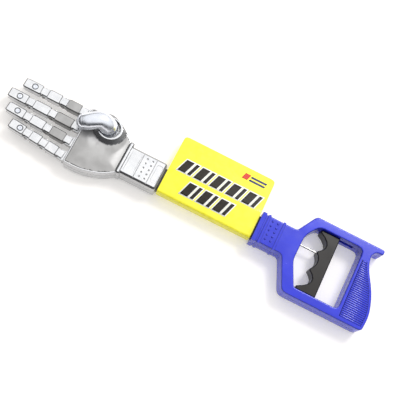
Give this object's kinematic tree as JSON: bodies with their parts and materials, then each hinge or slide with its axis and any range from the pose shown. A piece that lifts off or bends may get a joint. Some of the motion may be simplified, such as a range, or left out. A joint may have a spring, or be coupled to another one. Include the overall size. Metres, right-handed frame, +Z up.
{
  "type": "toy robot hand grabber",
  "caption": "Handheld toy grabber: a pistol grip with a sliding trigger pulls a rod that curls the jointed fingers of a silver robot hand towards its fixed thumb.",
  "frame": {"origin": "middle of the flat back of the grip's collar, on the surface that the toy lies on", "axes": "+X along the arm from the fingers to the grip, +Y towards the thumb's side and the grip's horn, +Z up out of the palm"},
  "size_m": [0.483, 0.1192, 0.045],
  "materials": {
    "blue_plastic": "glossy moulded blue plastic",
    "trigger_plastic": "satin black plastic",
    "tube_plastic": "black extruded plastic",
    "silver_paint": "silver metallic paint on plastic",
    "bright_silver": "bright silver plating on plastic",
    "steel": "plain drawn steel",
    "printed_card": "coated yellow card, printed",
    "cord": "braided nylon cord"
  },
  "bodies": {
    "frame": {"handle_front_shell": "blue_plastic", "handle_back_shell": "blue_plastic", "handle_screw_1": "steel", "handle_screw_2": "steel", "handle_screw_3": "steel", "handle_screw_4": "steel", "handle_screw_5": "steel", "handle_screw_6": "steel", "arm_tube": "tube_plastic", "header_card": "printed_card", "palm_front_shell": "silver_paint", "palm_back_shell": "silver_paint", "palm_screw_1": "steel", "palm_screw_2": "steel", "palm_screw_3": "steel", "thumb": "bright_silver", "return_spring": "steel", "index_pin_1": "steel", "middle_pin_1": "steel", "ring_pin_1": "steel", "pinky_pin_1": "steel"},
    "trigger_pull": {"trigger": "trigger_plastic", "pull_rod": "steel", "yoke": "trigger_plastic", "tendon_index": "cord", "tendon_middle": "cord", "tendon_ring": "cord", "tendon_pinky": "cord"},
    "index_proximal_link": {"index_proximal": "silver_paint", "index_pin_2": "steel"},
    "index_middle_link": {"index_middle": "silver_paint", "index_pin_3": "steel"},
    "index_distal_link": {"index_distal": "silver_paint", "index_tip_screw": "bright_silver"},
    "middle_proximal_link": {"middle_proximal": "silver_paint", "middle_pin_2": "steel"},
    "middle_middle_link": {"middle_middle": "silver_paint", "middle_pin_3": "steel"},
    "middle_distal_link": {"middle_distal": "silver_paint", "middle_tip_screw": "bright_silver"},
    "ring_proximal_link": {"ring_proximal": "silver_paint", "ring_pin_2": "steel"},
    "ring_middle_link": {"ring_middle": "silver_paint", "ring_pin_3": "steel"},
    "ring_distal_link": {"ring_distal": "silver_paint", "ring_tip_screw": "bright_silver"},
    "pinky_proximal_link": {"pinky_proximal": "silver_paint", "pinky_pin_2": "steel"},
    "pinky_middle_link": {"pinky_middle": "silver_paint", "pinky_pin_3": "steel"},
    "pinky_distal_link": {"pinky_distal": "silver_paint", "pinky_tip_screw": "bright_silver"}
  },
  "joints": [
    {"name": "trigger_slide", "type": "slide", "parent": "frame", "child": "trigger_pull", "axis": [1, 0, 0], "range_m": [0, 0.018], "stiffness_N_per_m": 120, "springref_m": -0.02, "deforming": ["return_spring"]},
    {"name": "index_knuckle", "type": "hinge", "parent": "frame", "child": "index_proximal_link", "pos_m": [-0.26, 0.0312, 0.013], "axis": [0, 1, 0], "range_deg": [0, 55]},
    {"name": "index_middle_hinge", "type": "hinge", "parent": "index_proximal_link", "child": "index_middle_link", "pos_m": [-0.2856, 0.0312, 0.013], "axis": [0, 1, 0], "range_deg": [0, 75]},
    {"name": "index_tip_hinge", "type": "hinge", "parent": "index_middle_link", "child": "index_distal_link", "pos_m": [-0.3104, 0.0312, 0.013], "axis": [0, 1, 0], "range_deg": [0, 55]},
    {"name": "middle_knuckle", "type": "hinge", "parent": "frame", "child": "middle_proximal_link", "pos_m": [-0.26, 0.011, 0.013], "axis": [0.0209, 0.9998, 0], "range_deg": [0, 55]},
    {"name": "middle_middle_hinge", "type": "hinge", "parent": "middle_proximal_link", "child": "middle_middle_link", "pos_m": [-0.28999, 0.01163, 0.013], "axis": [0.0209, 0.9998, 0], "range_deg": [0, 75]},
    {"name": "middle_tip_hinge", "type": "hinge", "parent": "middle_middle_link", "child": "middle_distal_link", "pos_m": [-0.31879, 0.01223, 0.013], "axis": [0.0209, 0.9998, 0], "range_deg": [0, 55]},
    {"name": "ring_knuckle", "type": "hinge", "parent": "frame", "child": "ring_proximal_link", "pos_m": [-0.26, -0.008, 0.013], "axis": [0.0523, 0.9986, 0], "range_deg": [0, 55]},
    {"name": "ring_middle_hinge", "type": "hinge", "parent": "ring_proximal_link", "child": "ring_middle_link", "pos_m": [-0.28696, -0.00659, 0.013], "axis": [0.0523, 0.9986, 0], "range_deg": [0, 75]},
    {"name": "ring_tip_hinge", "type": "hinge", "parent": "ring_middle_link", "child": "ring_distal_link", "pos_m": [-0.31293, -0.00523, 0.013], "axis": [0.0523, 0.9986, 0], "range_deg": [0, 55]},
    {"name": "pinky_knuckle", "type": "hinge", "parent": "frame", "child": "pinky_proximal_link", "pos_m": [-0.26, -0.0268, 0.013], "axis": [0.0941, 0.9956, 0], "range_deg": [0, 55]},
    {"name": "pinky_middle_hinge", "type": "hinge", "parent": "pinky_proximal_link", "child": "pinky_middle_link", "pos_m": [-0.2825, -0.02467, 0.013], "axis": [0.0941, 0.9956, 0], "range_deg": [0, 75]},
    {"name": "pinky_tip_hinge", "type": "hinge", "parent": "pinky_middle_link", "child": "pinky_distal_link", "pos_m": [-0.3038, -0.02266, 0.013], "axis": [0.0941, 0.9956, 0], "range_deg": [0, 55]}
  ],
  "couplings": [
    {"joint": "index_knuckle", "follows": "trigger_slide", "rad_per_m": 53.3},
    {"joint": "index_middle_hinge", "follows": "trigger_slide", "rad_per_m": 72.7},
    {"joint": "index_tip_hinge", "follows": "trigger_slide", "rad_per_m": 53.3},
    {"joint": "middle_knuckle", "follows": "trigger_slide", "rad_per_m": 53.3},
    {"joint": "middle_middle_hinge", "follows": "trigger_slide", "rad_per_m": 72.7},
    {"joint": "middle_tip_hinge", "follows": "trigger_slide", "rad_per_m": 53.3},
    {"joint": "ring_knuckle", "follows": "trigger_slide", "rad_per_m": 53.3},
    {"joint": "ring_middle_hinge", "follows": "trigger_slide", "rad_per_m": 72.7},
    {"joint": "ring_tip_hinge", "follows": "trigger_slide", "rad_per_m": 53.3},
    {"joint": "pinky_knuckle", "follows": "trigger_slide", "rad_per_m": 53.3},
    {"joint": "pinky_middle_hinge", "follows": "trigger_slide", "rad_per_m": 72.7},
    {"joint": "pinky_tip_hinge", "follows": "trigger_slide", "rad_per_m": 53.3}
  ]
}
